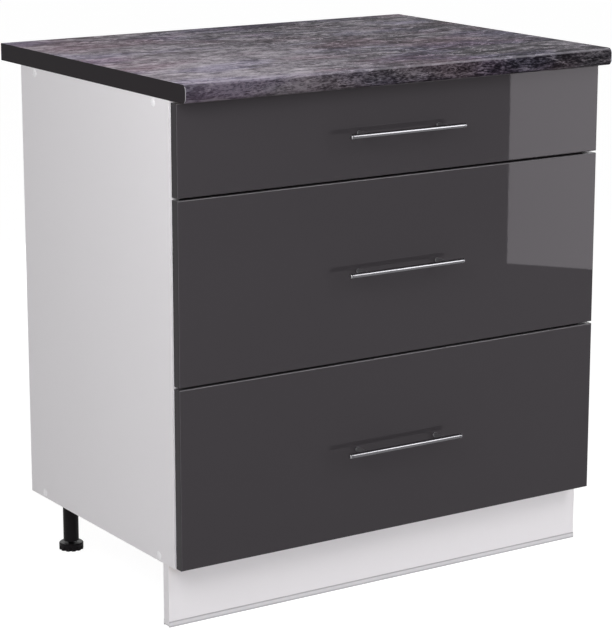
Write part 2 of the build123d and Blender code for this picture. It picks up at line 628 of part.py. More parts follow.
def left_drawer_side(level):
    """Steel side of one drawer, with the runner's moving half folded into it."""
    low = runner_z(level)
    base = low + side_rise
    top = base + level.side_height
    y_span = (front_rear_y, drawer_rear_y)
    wall_x = (left_x(SIDE_WALL_OFFSET), left_x(side_inner_s))

    rail_x = (left_x(side_inner_s - SIDE_RAIL_WIDTH), left_x(side_inner_s))
    rail = block(rail_x, y_span, (top - SIDE_RAIL_HEIGHT, top))
    rail = fillet(rail.edges().filter_by(Axis.Y).group_by(Axis.Z)[-1], SIDE_RAIL_RADIUS)
    hollow_x = (rail_x[0] + SIDE_STEEL, rail_x[1] - SIDE_STEEL)
    hollow = block(hollow_x, y_span, (top - SIDE_RAIL_HEIGHT, top - SIDE_STEEL))
    hollow = fillet(hollow.edges().filter_by(Axis.Y).group_by(Axis.Z)[-1], SIDE_RAIL_RADIUS - SIDE_STEEL)
    side = (rail - hollow) + block(wall_x, y_span, (base, top - SIDE_RAIL_RADIUS))

    flange_x = (left_x(SIDE_WALL_OFFSET), left_x(side_flange_s))
    side += block(flange_x, y_span, (base, base + SIDE_STEEL))
    tab_y = (front_rear_y, front_rear_y + SIDE_STEEL)
    side += block(flange_x, tab_y, tab_span(level))
    running_x = (left_x(RUNNING_FLANGE_START), left_x(SIDE_WALL_OFFSET))
    running_end = drawer_roller_y - DRAWER_ROLLER_RADIUS - ROLLER_CHAMFER
    running_z = low + running_flange_rise
    side += block(running_x, (front_rear_y, running_end), (running_z, running_z + SIDE_STEEL))

    axle = (drawer_roller_y, low + drawer_roller_rise)
    wheel_end = RUNNER_TRACK - RUNNER_STEEL - LIP_SIDE_PLAY
    wheel_start = wheel_end - ROLLER_WIDTH
    pin_start = wheel_start - PIN_SIDE_PLAY
    collar_start = wheel_end + PIN_SIDE_PLAY
    collar_length = SIDE_WALL_OFFSET - collar_start
    side += rod((left_x(collar_start), *axle), (1, 0, 0), PIN_HEAD_RADIUS, collar_length)
    side += rod((left_x(pin_start), *axle), (1, 0, 0), PIN_RADIUS, SIDE_WALL_OFFSET - pin_start)
    side += rod((left_x(pin_start), *axle), (-1, 0, 0), PIN_HEAD_RADIUS, PIN_HEAD_HEIGHT)

    places = drawer_screw_places(level, -1)
    side = drill(side, places, screw_shape(DRAWER_SCREW, HOLE_PLAY))
    wheel = Pos(0, *axle) * roller(DRAWER_ROLLER_RADIUS, left_x(wheel_start))
    return side, wheel


def make_drawer(level):
    make_front(level)
    make_handle(level)
    side, wheel = left_drawer_side(level)
    left, right = both_sides(side)
    nodes["drawer_side_left_" + level.name] = left
    nodes["drawer_side_right_" + level.name] = right
    nodes["drawer_rollers_" + level.name] = both_sides(wheel)

    base = runner_z(level) + side_rise + SIDE_STEEL
    x_span = (-drawer_board_half, drawer_board_half)
    screws = drawer_screw_places(level, -1) + drawer_screw_places(level, 1)
    screw_hole = screw_shape(DRAWER_SCREW, HOLE_PLAY)
    floor_y = (front_rear_y + SIDE_STEEL + DRAWER_BOARD_PLAY, drawer_rear_y)
    floor = block(x_span, floor_y, (base, base + DRAWER_BOARD))
    nodes["drawer_bottom_" + level.name] = drill(floor, screws, screw_hole)
    back = block(x_span, (drawer_rear_y - DRAWER_BOARD, drawer_rear_y), back_span(level))
    nodes["drawer_back_" + level.name] = drill(back, screws, screw_hole)
    nodes["drawer_screws_" + level.name] = [place * screw_shape(DRAWER_SCREW) for place in screws]


def write_nodes():
    os.makedirs("parts", exist_ok=True)
    for name, shape in nodes.items():
        pieces = shape if isinstance(shape, list) else [shape]
        solids = [solid for piece in pieces for solid in piece.solids()]
        export_step(solids[0] if len(solids) == 1 else Compound(children=solids), f"parts/{name}.step")


make_carcass()
make_worktop()
make_legs()
make_plinth()
make_runner_screws()
for drawer_level in LEVELS:
    make_runner(drawer_level)
    make_drawer(drawer_level)
write_nodes()
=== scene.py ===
import math

import bmesh
import bpy
from mathutils import Matrix, Vector


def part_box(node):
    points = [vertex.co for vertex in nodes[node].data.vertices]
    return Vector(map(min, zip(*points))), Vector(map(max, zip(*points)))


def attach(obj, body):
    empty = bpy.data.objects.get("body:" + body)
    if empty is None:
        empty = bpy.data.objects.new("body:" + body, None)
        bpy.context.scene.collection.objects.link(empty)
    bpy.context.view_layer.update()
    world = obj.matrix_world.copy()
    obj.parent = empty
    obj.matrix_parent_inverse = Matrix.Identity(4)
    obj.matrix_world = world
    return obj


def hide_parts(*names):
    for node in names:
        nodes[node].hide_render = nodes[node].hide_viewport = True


# The looks of a kitchen base cabinet with three drawers: materials for the CAD nodes, the
# small hardware built again with finer detail, the light, the floor and the camera.
# Metres, +Z up, drawers towards -Y, +X to the right of someone who faces them.

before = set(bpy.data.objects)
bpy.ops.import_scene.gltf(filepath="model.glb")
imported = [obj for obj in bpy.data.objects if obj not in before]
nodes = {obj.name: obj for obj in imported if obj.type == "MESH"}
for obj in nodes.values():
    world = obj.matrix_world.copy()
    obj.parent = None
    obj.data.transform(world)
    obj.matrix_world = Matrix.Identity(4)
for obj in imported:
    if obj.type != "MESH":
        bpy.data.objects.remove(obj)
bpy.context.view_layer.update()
LEVELS = ("top", "middle", "bottom")
AXES = {"X": (1, 0, 0), "Y": (0, 1, 0), "Z": (0, 0, 1)}


# ---- shader nodes ----
def linear(code):
    """An sRGB colour written as #rrggbb, as linear RGBA."""
    parts = [int(code[i:i + 2], 16) / 255 for i in (1, 3, 5)]
    return [c / 12.92 if c <= 0.04045 else ((c + 0.055) / 1.055) ** 2.4 for c in parts] + [1.0]


class Tree:
    """The shader nodes of a material or of the world."""

    def __init__(self, owner):
        owner.use_nodes = True
        self.tree = owner.node_tree

    def add(self, kind, **settings):
        node = self.tree.nodes.new(kind)
        for key, value in settings.items():
            setattr(node, key, value)
        return node

    def join(self, source, target):
        self.tree.links.new(source, target)

    def feed(self, value, socket):
        """Put a number, a colour or another node's output on a socket."""
        if isinstance(value, bpy.types.NodeSocket):
            self.join(value, socket)
        elif isinstance(value, str):
            socket.default_value = linear(value)
        else:
            socket.default_value = value

    def fit(self, value, low, high, out_low=0.0, out_high=1.0, interpolation="LINEAR"):
        """A value's place between low and high, carried over to another range and held in it."""
        node = self.add("ShaderNodeMapRange", interpolation_type=interpolation)
        names = ("Value", "From Min", "From Max", "To Min", "To Max")
        for name, number in zip(names, (value, low, high, out_low, out_high)):
            self.feed(number, node.inputs[name])
        return node.outputs["Result"]

    def math(self, operation, first, second=0.0):
        node = self.add("ShaderNodeMath", operation=operation)
        self.feed(first, node.inputs[0])
        self.feed(second, node.inputs[1])
        return node.outputs["Value"]

    def total(self, *parts):
        """The sum of (output, weight) pairs."""
        result = None
        for value, weight in parts:
            term = self.math("MULTIPLY", value, weight)
            result = term if result is None else self.math("ADD", result, term)
        return result

    def either(self, *values):
        """The largest of some outputs."""
        result = values[0]
        for value in values[1:]:
            result = self.math("MAXIMUM", result, value)
        return result

    def mix(self, factor, first, second, blend="MIX"):
        """The first colour where the factor is 0, the second where it is 1."""
        node = self.add("ShaderNodeMix", data_type="RGBA", blend_type=blend)
        self.feed(factor, node.inputs[0])
        self.feed(first, node.inputs[6])
        self.feed(second, node.inputs[7])
        return node.outputs[2]

    def ramp(self, factor, stops):
        """A colour for each factor, from (factor, colour) stops."""
        node = self.add("ShaderNodeValToRGB")
        self.join(factor, node.inputs["Fac"])
        elements = node.color_ramp.elements
        while len(elements) < len(stops):
            elements.new(0.5)
        for element, (position, code) in zip(elements, stops):
            element.position = position
            element.color = linear(code)
        return node.outputs["Color"]

    def seen(self):
        """1 for rays that show the surroundings: from the camera, or off metal and glass."""
        path = self.add("ShaderNodeLightPath")
        rays = ("Is Camera Ray", "Is Glossy Ray", "Is Transmission Ray")
        return self.either(*(path.outputs[ray] for ray in rays))


class Finish(Tree):
    """A material whose detail comes from nodes, in metres on the object's own coordinates."""

    def __init__(self, name, metallic=0.0, specular=0.5):
        self.material = bpy.data.materials.new(name)
        super().__init__(self.material)
        self.surface = self.tree.nodes["Principled BSDF"]
        self.surface.inputs["Metallic"].default_value = metallic
        self.surface.inputs["Specular IOR Level"].default_value = specular
        self.place = self.add("ShaderNodeTexCoord")

    def along(self, axis):
        """One of the object's coordinates."""
        split = self.add("ShaderNodeSeparateXYZ")
        self.join(self.place.outputs["Object"], split.inputs[0])
        return split.outputs[axis]

    def spread(self, scale, shift):
        """The object's coordinates, scaled. The shift only picks another part of a pattern."""
        if isinstance(scale, float):
            scale = (scale, scale, scale)
        mapping = self.add("ShaderNodeMapping")
        mapping.inputs["Scale"].default_value = scale
        mapping.inputs["Location"].default_value = shift
        self.join(self.place.outputs["Object"], mapping.inputs["Vector"])
        return mapping.outputs["Vector"]

    def noise(self, scale, detail, rough=0.5, warp=0.0, shift=(0.0, 0.0, 0.0)):
        texture = self.add("ShaderNodeTexNoise")
        texture.inputs["Scale"].default_value = 1.0
        texture.inputs["Detail"].default_value = detail
        texture.inputs["Roughness"].default_value = rough
        texture.inputs["Distortion"].default_value = warp
        self.join(self.spread(scale, shift), texture.inputs["Vector"])
        return texture.outputs["Fac"]

    def cells(self, scale, shift):
        texture = self.add("ShaderNodeTexVoronoi")
        texture.inputs["Scale"].default_value = 1.0
        self.join(self.spread(scale, shift), texture.inputs["Vector"])
        return texture.outputs["Color"]

    def span(self, noise, low, high):
        """A noise, which is mostly between 0.3 and 0.7, carried over to another range."""
        return self.fit(noise, 0.3, 0.7, low, high)

    def facing(self, axis, low=0.4, high=0.6):
        """1 where the surface looks along an axis such as "-Y", or a direction, 0 elsewhere."""
        if isinstance(axis, str):
            sign = -1 if axis.startswith("-") else 1
            axis = [sign * part for part in AXES[axis[-1]]]
        node = self.add("ShaderNodeVectorMath", operation="DOT_PRODUCT")
        self.join(self.place.outputs["Normal"], node.inputs[0])
        node.inputs[1].default_value = axis
        return self.fit(node.outputs["Value"], low, high)

    def colour(self, value):
        self.feed(value, self.surface.inputs["Base Color"])

    def rough(self, value):
        self.feed(value, self.surface.inputs["Roughness"])

    def bump(self, height, depth):
        """Relief of a depth in metres, from a 0 to 1 height."""
        node = self.add("ShaderNodeBump")
        node.inputs["Distance"].default_value = depth
        self.join(height, node.inputs["Height"])
        self.join(node.outputs["Normal"], self.surface.inputs["Normal"])


# ---- materials ----
# The painted line on the worktop where its front rounding begins (a highlight at the left, a shade
# at the right), as places on Y.
LINE_FRONT = -0.2905
LINE_REAR = -0.2835
LINE_FADE = 0.002
# Painted shade along the lips of the plinth's sealing strip: heights at which each starts and is
# full.
UPPER_LIP_SHADE = (0.0069, 0.0078)
LOWER_LIP_SHADE = (0.0027, 0.0018)


def laminate():
    """Slate-like decor: dark and mid greys broken by pale wisps and dark cracks."""
    f = Finish("laminate_slate", specular=0.01)
    # Paler towards its left end: a painted sheen. Dark on the rounded front edge and underneath:
    # painted shade, reaching further up the rounding at the left.
    left = f.fit(f.along("X"), 0.0, -0.38)
    edge = f.either(f.facing("-Y", 0.45, 0.82),
                    f.math("MULTIPLY", left, f.facing("-Y", 0.2, 0.55)),
                    f.facing("-Z", 0.1, 0.5))

    # Ground, with a finer grain on the edge, and a little paler towards the left end as painted
    # sheen.
    patches = f.noise((3.1, 5.5, 6.5), detail=3.0, rough=0.55, shift=(1.6, 0.3, 0.0))
    clouds = f.noise((17.0, 40.0, 80.0), detail=8.0, rough=0.74, warp=0.3, shift=(3.1, 0.7, 0.2))
    grit = f.noise((125.0, 100.0, 420.0), detail=4.0, rough=0.75, shift=(0.4, 5.2, 1.3))
    fine = f.noise((150.0, 150.0, 460.0), detail=3.0, shift=(6.0, 1.1, 0.4))
    level = f.total((patches, 0.26), (clouds, 0.42), (grit, 0.32), (left, 0.027))
    level = f.math("ADD", level, f.math("MULTIPLY", edge, f.total((fine, 0.36), (0.54, -0.36))))
    ground = f.ramp(level, [(0.41, "#2c292e"), (0.47, "#545057"),
                            (0.53, "#87828a"), (0.59, "#c0bac3")])
    # Painted sheen: the ground grows paler towards the left end.
    ground = f.mix(f.math("MULTIPLY", left, 0.28), ground, "#c4b6c1")

    # Pale wisps follow one level of a warped noise, wider at the left.
    wisp = f.noise((11.0, 30.0, 60.0), detail=7.0, rough=0.68, warp=0.7, shift=(7.7, 2.0, 4.0))
    near = f.math("ABSOLUTE", f.math("SUBTRACT", wisp, 0.52))
    width = f.fit(left, 0.0, 1.0, 0.022, 0.05)
    ridge = f.fit(f.math("SUBTRACT", 1.0, f.math("DIVIDE", near, width)), 0.0, 0.7)
    broken = f.noise((26.0, 50.0, 60.0), detail=3.0, shift=(1.0, 9.0, 2.0))
    pale = f.math("MULTIPLY", ridge, f.fit(broken, 0.4, 0.58, 0.0, 0.9))
    decor = f.mix(pale, ground, "#dcd4dd")

    # Dark cracks follow another, where the wisps are few.
    crack = f.noise((16.0, 36.0, 90.0), detail=6.0, rough=0.72, warp=1.2, shift=(2.2, 6.4, 9.1))
    seam = f.fit(f.math("ABSOLUTE", f.math("SUBTRACT", crack, 0.48)), 0.0, 0.018, 1.0, 0.0)
    dark = f.math("MULTIPLY", seam, f.fit(broken, 0.62, 0.4, 0.0, 0.85))
    decor = f.mix(dark, decor, "#1f1c21")

    # Warm and cool tints in large patches.
    warm = f.fit(f.noise((3.4, 8.0, 10.0), detail=3.0, shift=(2.0, 4.0, 8.0)), 0.47, 0.6)
    cool = f.fit(f.noise((4.2, 9.0, 12.0), detail=3.0, shift=(9.0, 1.0, 3.0)), 0.49, 0.62)
    decor = f.mix(f.math("MULTIPLY", warm, 0.4), decor, "#a8707f", blend="SOFT_LIGHT")
    decor = f.mix(f.math("MULTIPLY", cool, 0.3), decor, "#8284c8", blend="SOFT_LIGHT")

    # Painted shade on the edge, a painted line where it begins (a highlight at the left, a shade
    # at the right), and a painted highlight on the upper part of the rounding.
    decor = f.mix(f.math("MULTIPLY", edge, 0.74), decor, "#080709")
    depth = f.along("Y")
    before = f.fit(depth, LINE_FRONT, LINE_FRONT + LINE_FADE)
    after = f.fit(depth, LINE_REAR, LINE_REAR - LINE_FADE)
    tangent_highlight_and_shade = f.math("MULTIPLY", f.math("MULTIPLY", before, after), f.facing("Z", 0.9, 0.99))
    tangent_highlight_and_shade_tone = f.ramp(left, [(0.25, "#131114"), (0.6, "#d6cfd5")])
    decor = f.mix(f.math("MULTIPLY", tangent_highlight_and_shade, 0.5), decor, tangent_highlight_and_shade_tone)
    roll_highlight = f.facing((0.0, -0.5, 0.866), 0.93, 0.985)
    roll_highlight_share = f.math("MULTIPLY", roll_highlight, f.fit(left, 0.0, 0.6, 0.45, 0.1))
    f.colour(f.mix(roll_highlight_share, decor, "#a29fa5"))
    f.rough(f.fit(level, 0.35, 0.65, 0.45, 0.6))
    f.bump(f.total((clouds, 0.6), (grit, 0.4)), 0.0002)
    return f.material


def band_end():
    """Near-black strip on the worktop's ends, with the paler edge of its own thickness."""
    f = Finish("worktop_end_strip", specular=0.05)
    fine = f.noise(900.0, detail=2.0)
    rim = f.facing("-Y", 0.55, 0.8)
    f.colour(f.mix(rim, f.mix(fine, "#1d191c", "#252124"), "#a9a7ab"))
    f.rough(f.span(fine, 0.42, 0.52))
    f.bump(fine, 0.00004)
    return f.material


def chipboard(f, shift=(0.0, 0.0, 0.0)):
    """Colour and relief of pressed wood chips, for a board's raw edge."""
    chip = f.cells((380.0, 380.0, 520.0), shift)
    small = f.cells((900.0, 900.0, 1200.0), shift)
    tone = f.noise(45.0, detail=3.0, shift=shift)
    level = f.total((chip, 0.45), (small, 0.35), (tone, 0.2))
    wood = f.ramp(level, [(0.2, "#7c5f3e"), (0.45, "#a88559"),
                          (0.65, "#c3a274"), (0.85, "#dbc196")])
    return wood, level


def white_board(name, raw):
    """White melamine-faced chipboard; raw lists the directions in which the core shows."""
    f = Finish(name, specular=0.4)
    peel = f.noise(420.0, detail=2.0)
    drift = f.noise(3.0, detail=2.0)
    white = f.mix(drift, "#e8e5e8", "#ebe8eb")
    rough = f.span(peel, 0.36, 0.46)
    height = peel
    if raw:
        wood, chips = chipboard(f)
        bare = f.either(*(f.facing(axis) for axis in raw))
        white = f.mix(bare, white, wood)
        rough = f.math("ADD", f.math("MULTIPLY", bare, 0.4), rough)
        height = f.total((peel, 0.3), (f.math("MULTIPLY", bare, chips), 0.9))
    f.colour(white)
    f.rough(rough)
    f.bump(height, 0.00006)
    return f.material


def hardboard():
    """Thin back: white in front, brown pressed fibre behind."""
    f = Finish("back_hardboard", specular=0.3)
    fibre = f.noise((700.0, 700.0, 260.0), detail=4.0, rough=0.7)
    blotch = f.noise(9.0, detail=4.0)
    brown = f.ramp(f.total((fibre, 0.6), (blotch, 0.4)),
                   [(0.35, "#93704d"), (0.5, "#a5825d"), (0.65, "#b9976f")])
    f.colour(f.mix(f.facing("Y"), "#e6e4e6", brown))
    f.rough(f.span(fibre, 0.5, 0.72))
    f.bump(fibre, 0.00008)
    return f.material


def worktop_core():
    """Chipboard of the worktop: raw at the rear edge, sealed with brown paper underneath."""
    f = Finish("worktop_chipboard", specular=0.3)
    wood, chips = chipboard(f, shift=(4.0, 1.0, 2.0))
    paper = f.mix(f.noise((60.0, 240.0, 240.0), detail=4.0), "#8f7a62", "#a08b71")
    under = f.facing("-Z")
    f.colour(f.mix(under, wood, paper))
    f.rough(f.fit(chips, 0.2, 0.8, 0.62, 0.82))
    f.bump(f.math("MULTIPLY", chips, f.math("SUBTRACT", 1.0, under)), 0.0003)
    return f.material


def gloss_front():
    """High-gloss dark grey film with painted highlights along its top and left edges, painted
    shade on its side faces, and white behind.
    """
    f = Finish("front_gloss_grey", specular=0.12)
    f.surface.inputs["Specular Tint"].default_value = (1.0, 0.93, 1.0, 1.0)
    edge_highlight_tone = "#8b898d"
    ends = f.either(f.facing("X", 0.8, 0.95), f.facing("-X", 0.8, 0.95))
    top_edge_highlight = f.facing((0.0, -0.6, 0.8), 0.75, 0.93)
    side_edge_highlight = f.facing((-0.6, -0.8, 0.0), 0.93, 0.98)
    rear = f.facing("Y")
    grey = f.mix(f.noise(2.5, detail=2.0), "#3a373a", "#3c393c")
    # Painted shade: the side faces are darker.
    grey = f.mix(ends, grey, "#272427")
    # Painted highlights: the top edge and the left edge are paler.
    grey = f.mix(f.math("MULTIPLY", top_edge_highlight, 0.6), grey, edge_highlight_tone)
    grey = f.mix(f.math("MULTIPLY", side_edge_highlight, 0.25), grey, edge_highlight_tone)
    f.colour(f.mix(rear, grey, "#e6e4e7"))
    smudge = f.noise((14.0, 14.0, 22.0), detail=4.0)
    gloss = f.fit(smudge, 0.35, 0.75, 0.012, 0.022)
    f.rough(f.math("ADD", gloss, f.math("MULTIPLY", rear, 0.35)))
    f.bump(f.noise(90.0, detail=1.0), 0.000004)
    return f.material


def polished_metal():
    """Polished bar with faint lines along its length and softer turned ends."""
    f = Finish("handle_polished_metal", metallic=1.0)
    lines = f.noise((30.0, 2600.0, 2600.0), detail=3.0)
    ends = f.either(f.facing("X", 0.3, 0.6), f.facing("-X", 0.3, 0.6))
    f.colour(f.mix(ends, f.mix(lines, "#5b5a5d", "#69686b"), "#a9a8ab"))
    f.rough(f.math("ADD", f.span(lines, 0.1, 0.15), f.math("MULTIPLY", ends, 0.22)))
    f.bump(lines, 0.000006)
    return f.material


def satin_metal():
    """Finely turned posts, softer than the bar."""
    f = Finish("post_satin_metal", metallic=1.0)
    turned_lines = f.noise((900.0, 3200.0, 900.0), detail=2.0)
    f.colour(f.mix(turned_lines, "#a3a2a5", "#b3b2b5"))
    f.rough(f.span(turned_lines, 0.42, 0.5))
    f.bump(turned_lines, 0.00001)
    return f.material


def sealing_strip():
    """Pale grey strip under the plinth, with painted shade along its two lips."""
    f = Finish("seal_pale_plastic", specular=0.35)
    grain = f.noise(1300.0, detail=3.0)
    height = f.along("Z")
    # Painted shade: darker along the two lips.
    lip_shade = f.either(f.fit(height, *UPPER_LIP_SHADE), f.fit(height, *LOWER_LIP_SHADE))
    f.colour(f.mix(lip_shade, f.mix(grain, "#d2d0d3", "#d9d7da"), "#b2b0b4"))
    f.rough(f.span(grain, 0.42, 0.55))
    f.bump(grain, 0.00004)
    return f.material


def zinc():
    """Zinc-plated steel of the screws, slightly cloudy."""
    f = Finish("zinc_plated_steel", metallic=1.0)
    cloud = f.noise(1300.0, detail=3.0)
    tint = f.noise(320.0, detail=2.0)
    f.colour(f.ramp(f.total((cloud, 0.5), (tint, 0.5)),
                    [(0.35, "#8f8e8b"), (0.5, "#a9a8a6"), (0.65, "#bcbcbd")]))
    f.rough(f.span(cloud, 0.28, 0.45))
    f.bump(cloud, 0.00002)
    return f.material


def powder_coat(name, tone, pale):
    """Fine powder coat on folded steel."""
    f = Finish(name, specular=0.45)
    peel = f.noise(1500.0, detail=2.0)
    f.colour(f.mix(f.noise(6.0, detail=2.0), tone, pale))
    f.rough(f.span(peel, 0.34, 0.5))
    f.bump(peel, 0.00004)
    return f.material


def moulded(name, tone, pale, roughness, scale=1100.0, specular=0.45):
    """Injection-moulded plastic with a fine spark-eroded grain."""
    f = Finish(name, specular=specular)
    grain = f.noise(scale, detail=3.0)
    flow = f.noise((20.0, 20.0, 60.0), detail=2.0)
    f.colour(f.mix(flow, tone, pale))
    f.rough(f.span(grain, roughness, roughness + 0.14))
    f.bump(grain, 0.00004)
    return f.material


def beech():
    """Beech of the dowels, its fibre along X."""
    f = Finish("beech_dowel", specular=0.3)
    fibre = f.noise((60.0, 1400.0, 1400.0), detail=4.0, rough=0.7)
    f.colour(f.ramp(fibre, [(0.35, "#b98d5d"), (0.6, "#d8b283")]))
    f.rough(f.span(fibre, 0.6, 0.75))
    f.bump(fibre, 0.0001)
    return f.material


side_material = white_board("side_board_white", ("Y", "-Z"))
flat_material = white_board("flat_board_white", ("Y",))
plinth_material = white_board("plinth_board_white", ())
drawer_board_material = white_board("drawer_board_white", ("Y", "X", "-X"))
drawer_back_material = white_board("drawer_back_white", ("X", "-X"))
edge_material = moulded("edge_band_white", "#f9f7fa", "#fcfafd", roughness=0.34)
cap_material = moulded("cover_cap_white", "#f1eff2", "#f6f4f7", roughness=0.16, scale=1600.0)
leg_material = moulded("leg_black_plastic", "#161416", "#1f1c1f", roughness=0.4, specular=0.07)
roller_material = moulded("roller_white_nylon", "#e2e1dc", "#ebeae6", roughness=0.35, scale=1800.0)
bar_material = polished_metal()
post_material = satin_metal()
screw_material = zinc()
drawer_side_material = powder_coat("drawer_side_grey", "#c3c4c6", "#c9cacc")
runner_material = powder_coat("runner_grey", "#b4b6b8", "#bcbdbf")
front_material = gloss_front()

finishes = {
    "side_panel_left": side_material,
    "side_panel_right": side_material,
    "bottom_panel": flat_material,
    "front_rail": flat_material,
    "rear_rail": flat_material,
    "back_panel": hardboard(),
    "panel_edge_bands": edge_material,
    "dowels": beech(),
    "carcass_screws": screw_material,
    "cover_caps": cap_material,
    "worktop_laminate": laminate(),
    "worktop_core": worktop_core(),
    "worktop_end_bands": band_end(),
    "worktop_screws": screw_material,
    "leg_bodies": leg_material,
    "foot_front_left": leg_material,
    "foot_front_right": leg_material,
    "foot_rear_left": leg_material,
    "foot_rear_right": leg_material,
    "leg_screws": screw_material,
    "plinth_seal": sealing_strip(),
    "plinth_board": plinth_material,
    "plinth_clips": leg_material,
    "runner_screws": screw_material,
}
for level in LEVELS:
    finishes["runners_" + level] = runner_material
    finishes["runner_rollers_" + level] = roller_material
    finishes["front_" + level] = front_material
    finishes["handle_bar_" + level] = bar_material
    finishes["handle_posts_" + level] = post_material
    finishes["handle_screws_" + level] = screw_material
    finishes["drawer_side_left_" + level] = drawer_side_material
    finishes["drawer_side_right_" + level] = drawer_side_material
    finishes["drawer_rollers_" + level] = roller_material
    finishes["drawer_bottom_" + level] = drawer_board_material
    finishes["drawer_back_" + level] = drawer_back_material
    finishes["drawer_screws_" + level] = screw_material

for name, node in nodes.items():
    for slot in node.material_slots:
        slot.material = finishes[name]


# ---- finer hardware in the place of plain solids ----
def turned(shape, outline, place, segments=48):
    """Turn (along, radius) points about the place's X axis; an end at radius 0 is closed."""
    angles = [2 * math.pi * step / segments for step in range(segments)]
    rings = []
    for along, radius in outline:
        if radius == 0.0:
            points = [(along, 0.0, 0.0)]
        else:
            points = [(along, radius * math.cos(a), radius * math.sin(a)) for a in angles]
        rings.append([shape.verts.new(place @ Vector(point)) for point in points])
    for near, far in zip(rings, rings[1:]):
        for step in range(segments):
            following = (step + 1) % segments
            corners = [near[step % len(near)], far[step % len(far)],
                       far[following % len(far)], near[following % len(near)]]
            shape.faces.new(list(dict.fromkeys(corners)))
    return rings


def piece(name, shape, body, material, replaced, crease=35.0):
    """Make a finished mesh that rides on a body and stands for a CAD node."""
    bmesh.ops.recalc_face_normals(shape, faces=shape.faces)
    mesh = bpy.data.meshes.new(name)
    shape.to_mesh(mesh)
    shape.free()
    mesh.shade_smooth()
    mesh.set_sharp_from_angle(angle=math.radians(crease))
    mesh.materials.append(material)
    result = bpy.data.objects.new(name, mesh)
    bpy.context.scene.collection.objects.link(result)
    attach(result, body)
    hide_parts(replaced)


def towards(spot, direction):
    """A place whose X axis starts at a spot and points in a direction."""
    turn = Vector(direction).to_track_quat("X", "Z").to_matrix().to_4x4()
    return Matrix.Translation(Vector(spot)) @ turn


def separate_solids(node):
    """The corners of each separate solid in a CAD node."""
    shape = bmesh.new()
    shape.from_mesh(node.data)
    shape.transform(node.matrix_world)
    bmesh.ops.remove_doubles(shape, verts=shape.verts, dist=0.00001)
    met = set()
    solids = []
    for first in shape.verts:
        if first in met:
            continue
        met.add(first)
        waiting = [first]
        corners = []
        while waiting:
            vert = waiting.pop()
            corners.append(vert.co.copy())
            for edge in vert.link_edges:
                other = edge.other_vert(vert)
                if other not in met:
                    met.add(other)
                    waiting.append(other)
        solids.append(corners)
    shape.free()
    return solids


def cross_recess(shape, place, ring, reach, half, sink):
    """Close a flat ring at the place's origin with a cross-shaped recess.

    reach and half are the half length and half width of the cross's arms. Its floor lies
    sink deep and is 0.6 times as wide as its mouth.
    """
    cross = [(half, reach), (half, half), (reach, half),
             (reach, -half), (half, -half), (half, -reach),
             (-half, -reach), (-half, -half), (-reach, -half),
             (-reach, half), (-half, half), (-half, reach)]
    mouth = [shape.verts.new(place @ Vector((0.0, y, z))) for y, z in cross]
    floor = [shape.verts.new(place @ Vector((sink, y * 0.6, z * 0.6))) for y, z in cross]
    for step in range(len(cross)):
        following = (step + 1) % len(cross)
        shape.faces.new((mouth[step], mouth[following], floor[following], floor[step]))
    shape.faces.new(floor)
    rims = []
    for loop in (ring, mouth):
        rims += [shape.edges.get((loop[step - 1], loop[step])) for step in range(len(loop))]
    bmesh.ops.triangle_fill(shape, use_beauty=True, edges=rims)


def finer_screw(shape, corners):
    """A screw with a cross recess, in the place of the plain one that has these corners."""
    low = Vector([min(corner[axis] for corner in corners) for axis in range(3)])
    high = Vector([max(corner[axis] for corner in corners) for axis in range(3)])
    axis = max(range(3), key=lambda side: high[side] - low[side])
    middle = (low + high) / 2
    length = high[axis] - low[axis]
    head = (high[axis - 1] - low[axis - 1]) / 2

    def away(corner):
        """A corner's distance from the screw's axis."""
        offset = corner - middle
        offset[axis] = 0.0
        return offset.length

    # The head is at the end where the widest corners are.
    rim = [corner[axis] for corner in corners if away(corner) > 0.97 * head]
    sign = 1 if sum(rim) / len(rim) < middle[axis] else -1
    middle[axis] = low[axis] if sign == 1 else high[axis]
    direction = Vector((0.0, 0.0, 0.0))
    direction[axis] = sign
    place = towards(middle, direction)
    # The seat is the depth at which the head is last at its widest. The shank is measured
    # past 0.6 of the length, where no head reaches.
    seat = max(abs(value - middle[axis]) for value in rim)
    shank = max(away(corner) for corner in corners
                if abs(corner[axis] - middle[axis]) > length * 0.6)
    if seat > 0.0005:
        # A pan head: a rounded crown down to a flat seat.
        crown = head * 0.62
        outline = [(0.55 * seat * (1 - math.cos(a)), crown + (head - crown) * math.sin(a))
                   for a in (0.0, 0.5, 1.0, math.pi / 2)]
        outline += [(seat * 0.92, head), (seat, head * 0.97), (seat, shank)]
    else:
        # A countersunk head: flat on top, then a cone of 45 degrees.
        crown = head * 0.95
        outline = [(0.0, crown), (0.0001, head), (head - shank, shank)]
    outline += [(length - shank * 0.7, shank), (length, 0.0)]
    rings = turned(shape, outline, place, segments=28)
    cross_recess(shape, place, rings[0], crown * 0.84, head * 0.14, min(0.0011, 0.3 * head))


def finer_screws(name, body):
    """All screws of a CAD node that rides on a body."""
    shape = bmesh.new()
    for corners in separate_solids(nodes[name]):
        finer_screw(shape, corners)
    piece("fine_" + name, shape, body, screw_material, name)


# Outlines of turned pieces, as (along, radius) from the outer end.
BAR_HALF = 0.109
BAR_END = [(0.0, 0.0), (0.0, 0.0021), (0.00012, 0.0026), (0.0005, 0.0032), (0.0011, 0.0037),
           (0.0019, 0.00395), (0.0026, 0.004), (0.0044, 0.004), (0.0045, 0.0036),
           (0.0051, 0.0036), (0.0052, 0.004)]
POST_RADIUS = 0.0035
POST_FOOT = [(0.0, 0.0), (0.0, 0.0034), (0.0001, 0.0035), (0.0016, 0.0035), (0.0018, 0.0033),
             (0.0022, 0.0033), (0.0024, 0.0035)]
